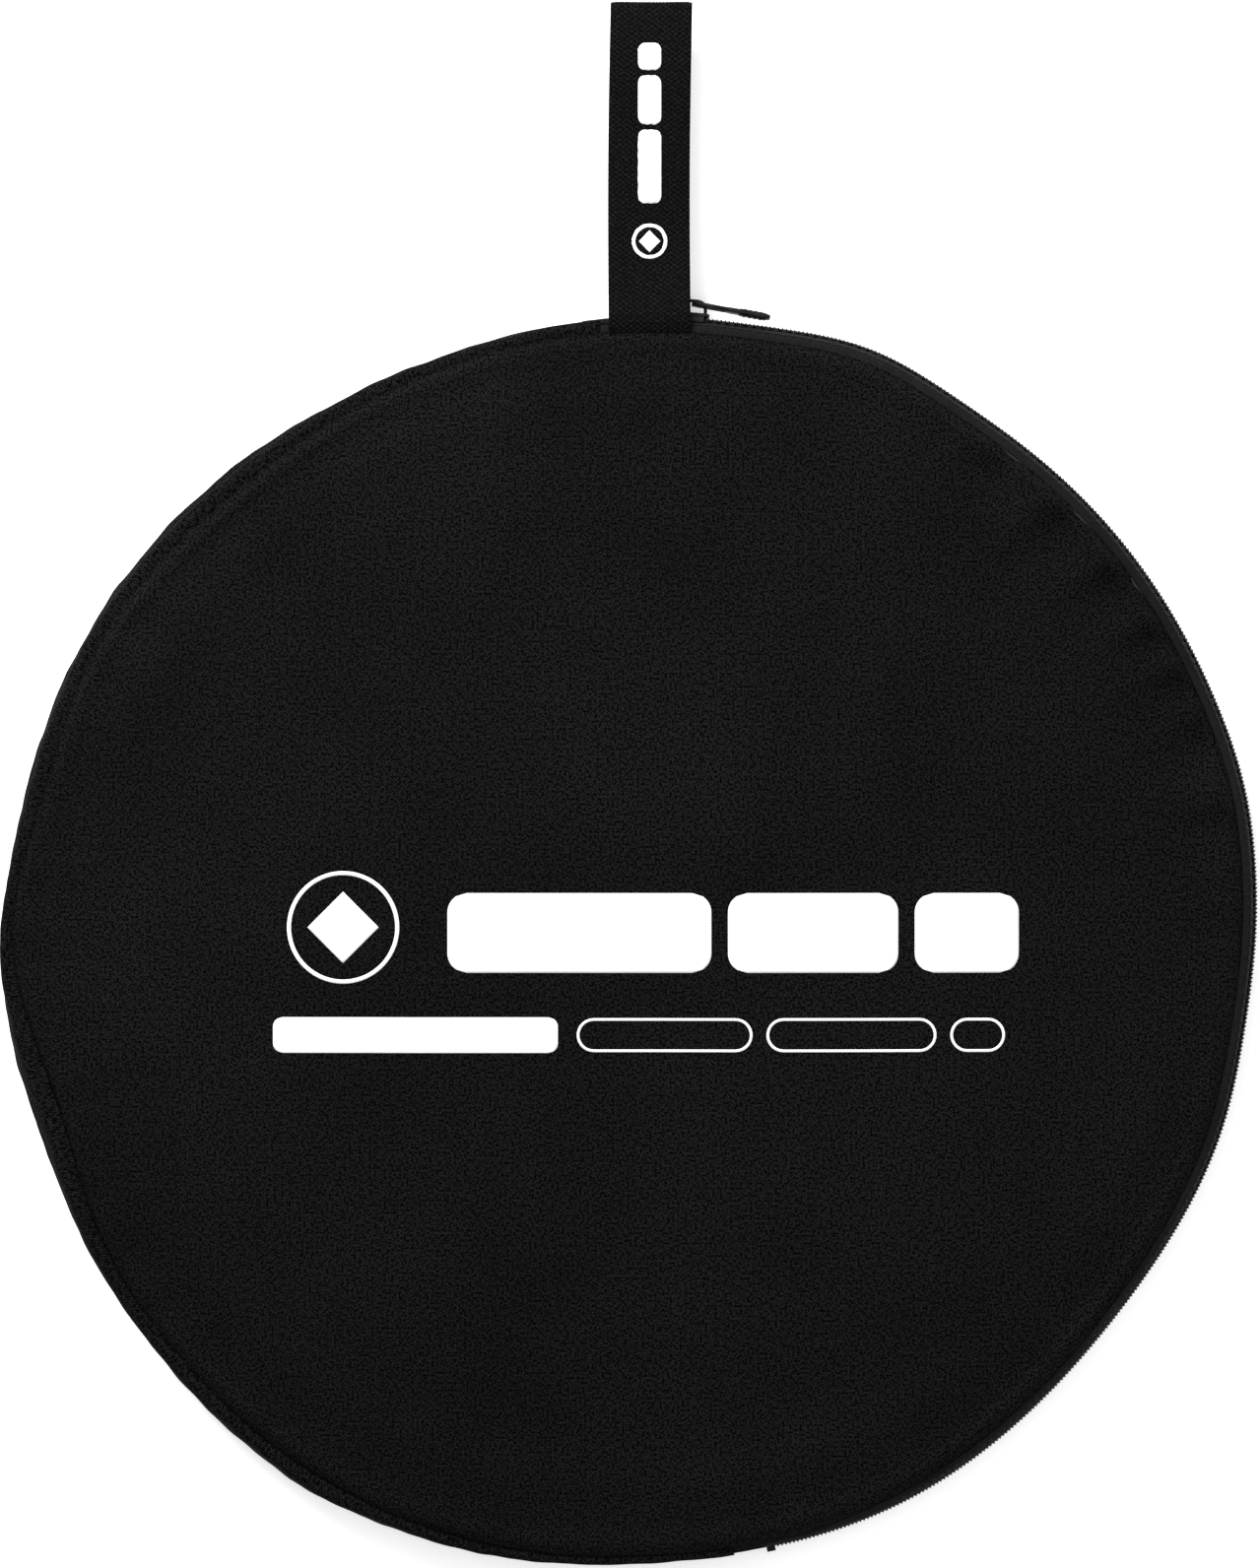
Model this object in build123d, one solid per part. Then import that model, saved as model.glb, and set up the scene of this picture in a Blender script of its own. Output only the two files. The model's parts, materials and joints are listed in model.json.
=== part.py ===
from build123d import *
import os
from math import cos, degrees, pi, radians, sin

# A round zipped carry bag with its folded reflector inside, lying on its back.
# Millimetres. Origin: centre of the back panel's outer face. +Z points out of the front panel,
# +Y towards the carrying strap, +X towards the zipped side. Angles run from +X towards +Y.

# Bag
CLOTH = 1.0                     # woven polyester with its coating
PANEL_R = 222.4                 # cut edge of the round back and front panels
CROWN_Z = 31.0                  # top of the front panel at its centre
FRONT_EDGE_Z = 24.0             # top of the front panel at its edge
WALL_Z = 13.0                   # height of the zip line, half way up the side wall
WALL_BULGE_R = 13.2             # the wall's section is an arc of this radius ...
WALL_CENTRE_R = 215.0           # ... about a circle of this radius
WALL_SPREAD = 50.0              # the arc's half angle, from the zip line to each seam
RIM_R = WALL_CENTRE_R + WALL_BULGE_R
SEAM_R = 222.7                  # inside of the bound seams
SEAM_WIDTH = 2.8
SEAM_HEIGHT = 2.2
BACK_SEAM_LOW = 0.3
FRONT_SEAM_DROP = 0.6           # bottom of the front seam below the panel's edge

# Zip: a 5 mm spiral-coil chain sewn on woven tape
ZIP_START = -80.5               # lower end of the tapes
ZIP_END = 93.0                  # upper end, under the strap
COIL_START = -76.6
COIL_END = 86.4
CHANNEL = 0.9                   # half the slot between the coils that the slider's post runs in
COIL_WIDTH = 2.3
COIL_HEIGHT = 2.0
COIL_SEAT_R = RIM_R + 0.05      # foot of the coil, just clear of the tape
STOP_GAP = 0.1                  # degrees between the coil and a stop
TOP_STOP = 0.6                  # length of a stop in degrees
BOTTOM_STOP = 0.8
TAPE = 0.8
TAB_WIDTH = 14.0
TAB_LIFT = 0.4
TAB_THICK = 1.0
TAB_PAST_TAPE = 1.4             # degrees that a tab runs past the tapes' ends
TAB_PAST_BOTTOM_STOP = 1.2      # degrees between the coil and the lower tab
TAB_PAST_TOP_STOP = 1.0

# Fold: the chord between the zip's two parked slider positions, where the front panel hinges
FOLD_TOP = 80.5
FOLD_BOTTOM = -71.0
FOLD_GAP = 0.3
BEYOND = 900.0                  # edge of the cutting block, larger than the whole bag

# Slider and pull
SLIDER_ANGLE = 84.4
SLIDER_HALF = 1.5               # degrees of the rim that half the slider covers
WING = 1.1
WING_HALF = 5.2
FLANGE = 1.2
WING_CLEAR = 0.6                # between the upper wing and the coil
FLANGE_CLEAR = 0.7              # between the flanges and the tape
UNDER_WING_R = WALL_CENTRE_R + 10.8
POST_LENGTH = 0.8               # in degrees
POST_CLEAR = 0.2                # beside each coil, and in degrees from the slider's end
POST_SUNK = 0.2                 # into each wing
BRIDGE_WIDTH = 2.4
BRIDGE_R = 237.2
BRIDGE_HALF = 4.6
BRIDGE_WALL = 1.2
BRIDGE_CORNER = 1.5
PULL_AXIS_R = 234.9
PULL_LENGTH = 28.5
PULL_DROOP = 10.5               # the pull's angle below +X as it lies over the coil
PULL_WIDTH = 7.2
PULL_THICK = 1.8
PULL_SLOT_END = 11.5            # length of the slot for the bridge
GRIP_EXTRA = 0.8                # how much thicker the grip is
GRIP_CORNER = 2.0
SLOT_CLEAR = 0.6                # on each side of the bridge
SLOT_TO_GRIP = 2.0

# Carrying strap
STRAP_WIDTH = 30.0
STRAP_X = 6.6
STRAP = 1.6
STRAP_TOP_Y = 344.4
PIVOT_Y = 252.0                 # where the free loop bends against its sewn ends
LEG_SPREAD = 5.6                # half the distance between the loop's legs at the bend
TOP_SPREAD = 3.4
SEWN_Y = 226.4                  # where the strap leaves its seams ...
SEWN_RISE = 11.6                # ... and how far above and below the zip line
ANCHOR_GAP = 1.0                # between a sewn end and the loop's swing
ANCHOR_LIFT = 0.9

# Reflector: one endless spring hoop, folded into three loops
HOOP_R = 196.5                  # mean radius of the folded loops
WEAVE = 6.0                     # how far the loops wander from their mean circle
HOOP_Z = 12.4
LOOPS = 3
STEPS = 24                      # straight runs in one loop
BAND_HEIGHT = 4.4
BAND_THICK = 0.9
SLEEVE = 7.0                    # outside of the binding folded round the hoop
SLEEVE_WALL = 0.6
FERRULE_LENGTH = 24.0
FERRULE_WALL = 0.6
FERRULE_STEP = 51               # the straight run that carries it
FACE_R = 183.0
FACE_THICK = 6.8
FACE_GAP = 0.6
FACE_EDGE_R = 2.0
REFLECTOR_SHIFT = -6.0          # towards the side of the bag that has no zip


def on_circle(radius, angle, z=0.0):
    """The point at this radius and angle."""
    return (radius * cos(radians(angle)), radius * sin(radians(angle)), z)


def turned(profile, start, end):
    """A face in the XZ plane, spun about Z from one angle to another."""
    return Rot(0, 0, start) * revolve(profile, Axis.Z, end - start)


def rectangle(inner, outer, low, high):
    """A face in the XZ plane between two radii and two heights."""
    corners = [(inner, 0, low), (outer, 0, low), (outer, 0, high), (inner, 0, high)]
    return make_face(Polyline(*corners, close=True))


def wall_point(radius, angle):
    """A point of the side wall's section, on an arc of this radius about the wall's centre."""
    return (WALL_CENTRE_R + radius * cos(radians(angle)), 0, WALL_Z + radius * sin(radians(angle)))


def wall_strip(low, high, thickness):
    """A strip of the side wall between two angles of its section."""
    inner = WALL_BULGE_R - thickness
    middle = (low + high) / 2
    outside = ThreePointArc(*[wall_point(WALL_BULGE_R, a) for a in (low, middle, high)])
    inside = ThreePointArc(*[wall_point(inner, a) for a in (high, middle, low)])
    ends = [Line(outside @ 1, inside @ 0), Line(inside @ 1, outside @ 0)]
    return make_face(outside + inside + ends)


# ---- The fold line -------------------------------------------------------------------------
fold_top = Vector(*on_circle(RIM_R, FOLD_TOP))
fold_bottom = Vector(*on_circle(RIM_R, FOLD_BOTTOM))
fold_along = (fold_top - fold_bottom).normalized()
fold_across = Vector(fold_along.Y, -fold_along.X, 0)
fold_plane = Plane(origin=(fold_top + fold_bottom) / 2, x_dir=fold_across, z_dir=(0, 0, 1))


def beside_fold(shape, side):
    """What lies on the zip's side of the fold (side 1) or on the other side (side -1)."""
    middle = side * (FOLD_GAP + BEYOND) / 2
    return shape & (fold_plane * Pos(middle, 0, 0) * Box(BEYOND, BEYOND, BEYOND))


def flap_side(shape):
    return beside_fold(shape, 1)


def fixed_side(shape):
    return beside_fold(shape, -1)


# ---- Bag cloth -------------------------------------------------------------------------------
def back_panel():
    return turned(rectangle(0, PANEL_R, 0, CLOTH), 0, 360)


def front_panel():
    """The shallow crown of the front panel, a cap cut from a spherical shell."""
    fall = CROWN_Z - FRONT_EDGE_Z
    ball_r = (PANEL_R**2 + fall**2) / (2 * fall)
    shell = Sphere(ball_r) - Sphere(ball_r - CLOTH)
    cap = Pos(0, 0, CROWN_Z - ball_r) * shell
    return cap & Pos(0, 0, CROWN_Z) * Cylinder(PANEL_R, 4 * fall)


def gusset_strip():
    return turned(wall_strip(-WALL_SPREAD, WALL_SPREAD, CLOTH), ZIP_END, ZIP_START + 360)


def seam_binding(low):
    return turned(rectangle(SEAM_R, SEAM_R + SEAM_WIDTH, low, low + SEAM_HEIGHT), 0, 360)


# ---- Zip -------------------------------------------------------------------------------------
def zip_tape(side):
    """The tape above (side 1) or below (side -1) the zip line."""
    edge = degrees(CHANNEL / WALL_BULGE_R)
    low, high = sorted((side * edge, side * WALL_SPREAD))
    return turned(wall_strip(low, high, TAPE), ZIP_START, ZIP_END)


def zip_coil(side):
    """One half of the chain, a plain strip as wide and high as its coil."""
    low, high = sorted((WALL_Z + side * CHANNEL, WALL_Z + side * (CHANNEL + COIL_WIDTH)))
    profile = rectangle(COIL_SEAT_R, COIL_SEAT_R + COIL_HEIGHT, low, high)
    return turned(profile, COIL_START, COIL_END)


def zip_top_stops():
    """A crimped stop on each tape, past the coil's upper end."""
    inner = WALL_Z + CHANNEL
    outer = inner + COIL_WIDTH
    top = COIL_SEAT_R + COIL_HEIGHT
    upper = rectangle(COIL_SEAT_R, top, inner, outer)
    lower = rectangle(COIL_SEAT_R, top, 2 * WALL_Z - outer, 2 * WALL_Z - inner)
    start = COIL_END + STOP_GAP
    end = start + TOP_STOP
    return Compound([turned(upper, start, end), turned(lower, start, end)])


def zip_bottom_stop():
    """The staple that joins both tapes below the coil's lower end."""
    half = CHANNEL + COIL_WIDTH
    profile = rectangle(COIL_SEAT_R, COIL_SEAT_R + COIL_HEIGHT, WALL_Z - half, WALL_Z + half)
    end = COIL_START - STOP_GAP
    return turned(profile, end - BOTTOM_STOP, end)


def zip_end_tabs():
    """Cloth tabs sewn over both ends of the tapes."""
    inner = RIM_R + TAB_LIFT
    half = TAB_WIDTH / 2
    profile = rectangle(inner, inner + TAB_THICK, WALL_Z - half, WALL_Z + half)
    lower = turned(profile, ZIP_START - TAB_PAST_TAPE, COIL_START - TAB_PAST_BOTTOM_STOP)
    upper = turned(profile, COIL_END + TAB_PAST_TOP_STOP, ZIP_END + TAB_PAST_TAPE)
    return Compound([lower, upper])


# ---- Slider and pull -------------------------------------------------------------------------
def slider_body():
    """Two wings joined by the post that parts the coils, with flanges outside them."""
    tape_clear = RIM_R + FLANGE_CLEAR
    coil_clear = RIM_R + COIL_HEIGHT + WING_CLEAR
    flange = WING_HALF - FLANGE
    outline = [
        (tape_clear, 0, WALL_Z + WING_HALF),
        (coil_clear + WING, 0, WALL_Z + WING_HALF),
        (coil_clear + WING, 0, WALL_Z - WING_HALF),
        (tape_clear, 0, WALL_Z - WING_HALF),
        (tape_clear, 0, WALL_Z - flange),
        (coil_clear, 0, WALL_Z - flange),
        (coil_clear, 0, WALL_Z + flange),
        (tape_clear, 0, WALL_Z + flange),
    ]
    start, end = SLIDER_ANGLE - SLIDER_HALF, SLIDER_ANGLE + SLIDER_HALF
    top = turned(make_face(Polyline(*outline, close=True)), start, end)
    under = rectangle(UNDER_WING_R - WING, UNDER_WING_R, WALL_Z - WING_HALF, WALL_Z + WING_HALF)
    bottom = turned(under, start, end)
    half = CHANNEL - POST_CLEAR
    foot, head = UNDER_WING_R - POST_SUNK, coil_clear + POST_SUNK
    column = rectangle(foot, head, WALL_Z - half, WALL_Z + half)
    post_end = end - POST_CLEAR
    post = turned(column, post_end - POST_LENGTH, post_end)
    return top + bottom + post


def slider_bridge():
    """The arch on the upper wing that holds the pull."""
    foot = RIM_R + COIL_HEIGHT + WING_CLEAR + WING
    half, inner = BRIDGE_HALF, BRIDGE_HALF - BRIDGE_WALL
    corner, inner_corner = BRIDGE_CORNER, BRIDGE_CORNER - 0.7
    under = BRIDGE_R - BRIDGE_WALL
    outline = [(-half, foot), (-half, BRIDGE_R - corner), (-half + corner, BRIDGE_R)]
    outline += [(half - corner, BRIDGE_R), (half, BRIDGE_R - corner), (half, foot)]
    outline += [(inner, foot), (inner, under - inner_corner), (inner - inner_corner, under)]
    outline += [(-inner + inner_corner, under), (-inner, under - inner_corner), (-inner, foot)]
    profile = make_face(Polyline(*outline, close=True))
    arch = Pos(0, 0, WALL_Z - BRIDGE_WIDTH / 2) * extrude(profile, BRIDGE_WIDTH, dir=(0, 0, 1))
    return Rot(0, 0, SLIDER_ANGLE - 90) * arch


def pull_tab():
    """A plate with a slot for the bridge and a thicker grip, held by its crossbar."""
    slot_width = BRIDGE_WIDTH + 2 * SLOT_CLEAR
    grip_start = PULL_SLOT_END + SLOT_TO_GRIP
    plate = Pos(PULL_LENGTH / 2, 0, 0) * Box(PULL_LENGTH, PULL_THICK, PULL_WIDTH)
    slot = Pos(PULL_SLOT_END / 2, 0, 0) * Box(PULL_SLOT_END, PULL_THICK * 2, slot_width)
    grip = Pos((grip_start + PULL_LENGTH) / 2, 0, 0)
    grip *= Box(PULL_LENGTH - grip_start, PULL_THICK + GRIP_EXTRA, PULL_WIDTH)
    grip = fillet(grip.edges().filter_by(Axis.Y).group_by(Axis.X)[-1], GRIP_CORNER)
    plate = plate - Pos(PULL_LENGTH, 0, 0) * Box(6, PULL_THICK * 2, PULL_WIDTH * 2)
    crossbar = Cylinder(PULL_THICK / 2, PULL_WIDTH)
    tab = plate - slot + grip + crossbar
    x, y, z = on_circle(PULL_AXIS_R, SLIDER_ANGLE, WALL_Z)
    return Pos(x, y, z) * Rot(0, 0, -PULL_DROOP) * tab


# ---- Carrying strap --------------------------------------------------------------------------
def webbing(points):
    """A flat strap of the stated width whose section in the YZ plane is this outline."""
    outline = make_face(Polyline(*[(0, y, z) for y, z in points], close=True))
    return Pos(STRAP_X - STRAP_WIDTH / 2, 0, 0) * extrude(outline, STRAP_WIDTH, dir=(1, 0, 0))


def strap_anchor(side):
    """A sewn end of the strap, from its seam to just short of the bend."""
    end_y = PIVOT_Y - LEG_SPREAD - STRAP - ANCHOR_GAP
    end_z = LEG_SPREAD + ANCHOR_LIFT
    leg = [(SEWN_Y, SEWN_RISE), (end_y, end_z), (end_y, end_z + STRAP)]
    leg += [(SEWN_Y, SEWN_RISE + STRAP)]
    return webbing([(y, WALL_Z + side * (z - STRAP / 2)) for y, z in leg])


def strap_loop():
    """The free loop: two legs joined by the fold at the top."""
    half = STRAP / 2
    turn_y = STRAP_TOP_Y - TOP_SPREAD - half

    def leaf(offset):
        start = PIVOT_Y + 0.4
        wide, narrow = LEG_SPREAD + offset, TOP_SPREAD + offset
        up = Line((0, start, WALL_Z + wide), (0, turn_y, WALL_Z + narrow))
        over = ThreePointArc(up @ 1, (0, turn_y + narrow, WALL_Z), (0, turn_y, WALL_Z - narrow))
        down = Line(over @ 1, (0, start, WALL_Z - wide))
        return [up, over, down]

    outside, inside = leaf(half), leaf(-half)
    ends = [Line(outside[0] @ 0, inside[0] @ 0), Line(outside[2] @ 1, inside[2] @ 1)]
    loop = extrude(make_face(outside + inside + ends), STRAP_WIDTH, dir=(1, 0, 0))
    return Pos(STRAP_X - STRAP_WIDTH / 2, 0, 0) * loop


# ---- Reflector -------------------------------------------------------------------------------
reflector_centre = fold_across * REFLECTOR_SHIFT


def hoop_point(step, outward=0.0, upward=0.0):
    """A point of the folded hoop, which weaves once round its mean circle in all three loops."""
    angle = 2 * pi * step / STEPS
    phase = angle / LOOPS
    radius = HOOP_R + WEAVE * cos(phase) + outward
    height = HOOP_Z + WEAVE * sin(phase) + upward
    return reflector_centre + Vector(radius * cos(angle), radius * sin(angle), height)


def hoop_solid(section):
    """The closed section carried round all the loops in straight runs."""
    count = LOOPS * STEPS
    rings = [[hoop_point(step, *corner) for corner in section] for step in range(count)]
    faces = []
    for ring, following in zip(rings, rings[1:] + rings[:1]):
        for k in range(len(section)):
            near, far = ring[k - 1], following[k - 1]
            faces.append(make_face(Polyline(near, ring[k], following[k], close=True)).face())
            faces.append(make_face(Polyline(near, following[k], far, close=True)).face())
    return Solid(Shell(faces))


def hoop_band():
    half, tall = BAND_THICK / 2, BAND_HEIGHT / 2
    return hoop_solid([(-half, -tall), (half, -tall), (half, tall), (-half, tall)])


def rim_binding():
    """Binding tape folded round the hoop, open on the inside where it takes the two faces."""
    half, inner = SLEEVE / 2, SLEEVE / 2 - SLEEVE_WALL
    section = [(-half, -half), (half, -half), (half, half), (-half, half)]
    section += [(-half, inner), (inner, inner), (inner, -inner), (-half, -inner)]
    return hoop_solid(section)


def hoop_ferrule():
    """The crimped sleeve over the two ends of the spring band."""
    start, end = hoop_point(FERRULE_STEP), hoop_point(FERRULE_STEP + 1)
    bore_thick, bore_height = BAND_THICK + 0.1, BAND_HEIGHT + 0.1
    outer = Box(FERRULE_LENGTH, bore_thick + 2 * FERRULE_WALL, bore_height + 0.5)
    bore = Box(FERRULE_LENGTH * 2, bore_thick, bore_height)
    along = (end - start).normalized()
    upright = Vector(0, 0, 1) - along * along.Z
    return Plane(origin=(start + end) / 2, x_dir=along, z_dir=upright) * (outer - bore)


def reflector_face(side):
    """One cloth of the reflector, packed flat inside the loops."""
    pad = Cylinder(FACE_R, FACE_THICK)
    pad = fillet(pad.edges(), FACE_EDGE_R)
    centre = reflector_centre + Vector(0, 0, HOOP_Z + side * (FACE_GAP + FACE_THICK) / 2)
    return Pos(*centre) * pad


# ---- Sub-parts -------------------------------------------------------------------------------
panel = front_panel()
front_seam = seam_binding(FRONT_EDGE_Z - FRONT_SEAM_DROP)
upper_tape = zip_tape(1)
upper_coil = zip_coil(1)

nodes = {
    "back_panel": back_panel(),
    "front_panel_fixed": fixed_side(panel),
    "gusset_strip": gusset_strip(),
    "back_seam_binding": seam_binding(BACK_SEAM_LOW),
    "front_seam_binding_fixed": fixed_side(front_seam),
    "back_zip_tape": zip_tape(-1),
    "back_zip_coil": zip_coil(-1),
    "front_zip_tape_ends": fixed_side(upper_tape),
    "front_zip_coil_ends": fixed_side(upper_coil),
    "zip_top_stops": zip_top_stops(),
    "zip_bottom_stop": zip_bottom_stop(),
    "zip_end_tabs": zip_end_tabs(),
    "strap_anchor_front": strap_anchor(1),
    "strap_anchor_back": strap_anchor(-1),
    "front_panel_flap": flap_side(panel),
    "front_seam_binding_flap": flap_side(front_seam),
    "front_zip_tape": flap_side(upper_tape),
    "front_zip_coil": flap_side(upper_coil),
    "slider_body": slider_body(),
    "slider_bridge": slider_bridge(),
    "pull_tab": pull_tab(),
    "strap_loop": strap_loop(),
    "hoop_band": hoop_band(),
    "hoop_ferrule": hoop_ferrule(),
    "rim_binding": rim_binding(),
    "silver_face": reflector_face(1),
    "white_face": reflector_face(-1),
}

os.makedirs("parts", exist_ok=True)
for name, shape in nodes.items():
    export_step(shape, f"parts/{name}.step")
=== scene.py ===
import json
from math import atan2, cos, degrees, exp, hypot, pi, radians, sin, sqrt

import bmesh
import bpy
from mathutils import Matrix, Vector, noise
from mathutils.bvhtree import BVHTree


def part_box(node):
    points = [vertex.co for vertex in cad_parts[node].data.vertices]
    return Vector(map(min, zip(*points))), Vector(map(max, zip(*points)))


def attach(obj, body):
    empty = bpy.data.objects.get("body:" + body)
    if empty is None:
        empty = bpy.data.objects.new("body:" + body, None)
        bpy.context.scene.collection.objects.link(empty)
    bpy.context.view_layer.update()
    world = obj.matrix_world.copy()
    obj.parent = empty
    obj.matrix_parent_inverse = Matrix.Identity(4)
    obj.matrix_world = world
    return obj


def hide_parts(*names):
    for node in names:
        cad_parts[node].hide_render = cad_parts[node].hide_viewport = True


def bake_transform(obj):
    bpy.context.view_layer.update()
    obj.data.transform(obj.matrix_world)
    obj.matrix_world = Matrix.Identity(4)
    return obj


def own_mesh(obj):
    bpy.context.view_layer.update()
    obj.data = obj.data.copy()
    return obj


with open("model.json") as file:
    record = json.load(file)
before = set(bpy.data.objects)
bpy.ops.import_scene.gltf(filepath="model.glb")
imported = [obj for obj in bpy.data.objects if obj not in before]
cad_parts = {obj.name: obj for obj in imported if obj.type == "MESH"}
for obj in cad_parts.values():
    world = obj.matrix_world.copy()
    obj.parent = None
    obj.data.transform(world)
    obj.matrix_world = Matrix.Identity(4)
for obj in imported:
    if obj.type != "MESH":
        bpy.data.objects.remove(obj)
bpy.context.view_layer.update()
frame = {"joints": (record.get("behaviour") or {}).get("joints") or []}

# A round zipped carry bag, lying on its back, with a folded reflector inside. Metres, in the
# model's frame: +Z out of the front panel, +Y towards the strap, +X towards the zipped side.
MM = 0.001


def joint(name):
    return next(j for j in frame["joints"] if j["name"] == name)


# ---- Places read from the frame ----
WALL_R = -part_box("gusset_strip")[0].x
CROWN_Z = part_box("front_panel_fixed")[1].z
ZIP_Z = (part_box("back_zip_coil")[1].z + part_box("front_zip_coil")[0].z) / 2
BULGE_R = 13.2 * MM                      # the side wall's section is an arc of this radius
WALL_CENTRE_R = WALL_R - BULGE_R
SPREAD = 50.0                            # its half angle, from the zip line to each seam
FRONT_SEAM_Z = ZIP_Z + BULGE_R * sin(radians(SPREAD))
BACK_SEAM_Z = ZIP_Z - BULGE_R * sin(radians(SPREAD))
SEAM_R = WALL_CENTRE_R + BULGE_R * cos(radians(SPREAD))
COIL_R = WALL_R + 0.55 * MM              # middle of the teeth
ZIP_END = 93.0                           # the tapes' upper end, under the strap
ZIP_START = -80.5
COIL_END = 86.4
COIL_START = -76.6
SLIDER_ANGLE = degrees(atan2(joint("pull_flip")["pos_m"][1], joint("pull_flip")["pos_m"][0]))

FOLD_POINT = Vector(joint("flap_fold")["pos_m"])
FOLD_ACROSS = Vector(joint("reflector_slide")["axis"])

PIVOT = Vector(joint("handle_swing")["pos_m"])
STRAP_LOW, STRAP_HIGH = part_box("strap_loop")
STRAP_WIDTH = STRAP_HIGH.x - STRAP_LOW.x


# ---- Making pieces ----
def make_piece(name, bm, *materials):
    """Turns a bmesh into an object whose place is in its mesh."""
    bmesh.ops.recalc_face_normals(bm, faces=bm.faces)
    mesh = bpy.data.meshes.new(name)
    bm.to_mesh(mesh)
    bm.free()
    for material in materials:
        mesh.materials.append(material)
    mesh.shade_smooth()
    piece = bpy.data.objects.new(name, mesh)
    bpy.context.scene.collection.objects.link(piece)
    return piece


def keep_flat_place(faces, layer, scale=1.0):
    """Writes where the cloth's points lie now into its UV map, in metres."""
    for face in faces:
        for loop in face.loops:
            loop[layer].uv = loop.vert.co.xy * scale


def cloth_grid(columns, rows, width, length):
    """A flat grid centred on the origin, with its own flat place kept as a UV map."""
    bm = bmesh.new()
    bmesh.ops.create_grid(bm, x_segments=columns, y_segments=rows, size=0.5)
    bmesh.ops.scale(bm, vec=(width, length, 1), verts=bm.verts)
    keep_flat_place(bm.faces, bm.loops.layers.uv.new("cloth"))
    return bm


def thicken(piece, thickness, inside=0):
    """Gives a sheet its thickness, inwards, with another material on the inside if it has one."""
    solid = piece.modifiers.new("thickness", "SOLIDIFY")
    solid.thickness = thickness
    solid.offset = -1
    solid.material_offset = inside
    return piece


def face_up(piece, outward):
    """Turns the faces over if they look the wrong way, judged at the first one."""
    face = piece.data.polygons[len(piece.data.polygons) // 2]
    if face.normal.dot(outward(face.center)) < 0:
        piece.data.flip_normals()
    return piece


def ride_fold(piece):
    """Bakes the piece's place into its mesh."""
    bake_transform(piece)


def ride_strap(piece):
    """Bakes the piece's place into its mesh."""
    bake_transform(piece)


def stand_in(piece, body, slot, *nodes):
    """Puts a piece that rides one body in the place of these nodes. Its slot is not used."""
    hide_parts(*nodes)
    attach(piece, body)


# ---- The bag's outline ----
# Swells and hollows of the stuffed bag's rim: angle, half width, height in mm.
# They are near nothing at both ends of the slider's travel, because it runs on a circle.
SWELLS = [(14, 8, 1.2), (38, 32, 2.8), (68, 8, 3.6), (113, 18, -3.1), (152, 12, 0.9),
          (184, 14, 3.3), (209, 9, 0.7), (240, 19, 5.9), (273, 9, -1.6), (295, 9, 0.6),
          (322, 17, -3.9), (352, 9, -1.8)]


def turn_between(a, b):
    """The smallest turn from b to a, in degrees."""
    return (a - b + 180) % 360 - 180


def hills(table, angle):
    """The height here of a table of smooth hills round the rim."""
    return sum(h * exp(-((turn_between(angle, a) / w) ** 2)) for a, w, h in table)


def swell(angle):
    """How far the rim stands out of its circle here."""
    return hills(SWELLS, angle) * MM


# Where the front seam sits further in (or, below zero, further out) than the side wall's arc.
SEAM_PULLS = [(133, 14, 3.6), (164, 9, 2.4), (180, 7, -1.6), (196, 12, 6.5), (237, 15, 2.2),
              (274, 20, -3.4), (317, 18, -1.4)]


def seam_pull(angle):
    return hills(SEAM_PULLS, angle) * MM


def front_seam_r(angle):
    """The front seam's radius here."""
    return SEAM_R + swell(angle) - seam_pull(angle)


def back_seam_r(angle):
    return SEAM_R + swell(angle)


def polar(radius, angle, z):
    return Vector((radius * cos(radians(angle)), radius * sin(radians(angle)), z))


def angle_of(point):
    return degrees(atan2(point.y, point.x))


def ripple(x, y, size, seed):
    """Smooth noise from -1 to 1 whose lumps are about this size in metres."""
    return noise.noise(Vector((x / size, y / size, seed)))


PARKED_LOW = -74.0                       # where the slider parks at its lower end
SLIDER_TRACK = 24.0                      # half angle of the section that the slider covers


def wall_place(angle, spread, lift=0.0):
    """A point of the side wall at this angle round the bag and across its section. The seam's
    pull reaches the zip line, but leaves the slider's track alone where the slider parks."""
    reach = BULGE_R + lift
    radius = WALL_CENTRE_R + reach * cos(radians(spread)) + swell(angle)
    parked = exp(-((turn_between(angle, PARKED_LOW) / 9) ** 2))
    track = SLIDER_TRACK * parked
    radius -= seam_pull(angle) * max(0.0, (spread - track) / (SPREAD - track)) ** 1.2
    return polar(radius, angle, ZIP_Z + reach * sin(radians(spread)))


# ---- Materials ----
def shader_group(name, inputs, outputs):
    """An empty shader node group with these inputs (name, type, value) and outputs."""
    tree = bpy.data.node_groups.new(name, "ShaderNodeTree")
    for label, kind, value in inputs:
        socket = tree.interface.new_socket(label, in_out="INPUT", socket_type=kind)
        if value is not None:
            socket.default_value = value
    for label, kind in outputs:
        tree.interface.new_socket(label, in_out="OUTPUT", socket_type=kind)
    return tree, tree.nodes.new("NodeGroupInput").outputs, tree.nodes.new("NodeGroupOutput").inputs


def connect(tree, value, socket):
    """Links a socket to a value from another node, or sets it to a plain value."""
    if isinstance(value, bpy.types.NodeSocket):
        tree.links.new(value, socket)
    else:
        socket.default_value = value


def calculate(tree, operation, *values):
    node = tree.nodes.new("ShaderNodeMath")
    node.operation = operation
    for value, socket in zip(values, node.inputs):
        connect(tree, value, socket)
    return node.outputs[0]


def noise_value(tree, vector, scale, detail=3.0, roughness=0.5):
    node = tree.nodes.new("ShaderNodeTexNoise")
    connect(tree, vector, node.inputs["Vector"])
    connect(tree, scale, node.inputs["Scale"])
    node.inputs["Detail"].default_value = detail
    node.inputs["Roughness"].default_value = roughness
    return node.outputs["Fac"]


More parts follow.
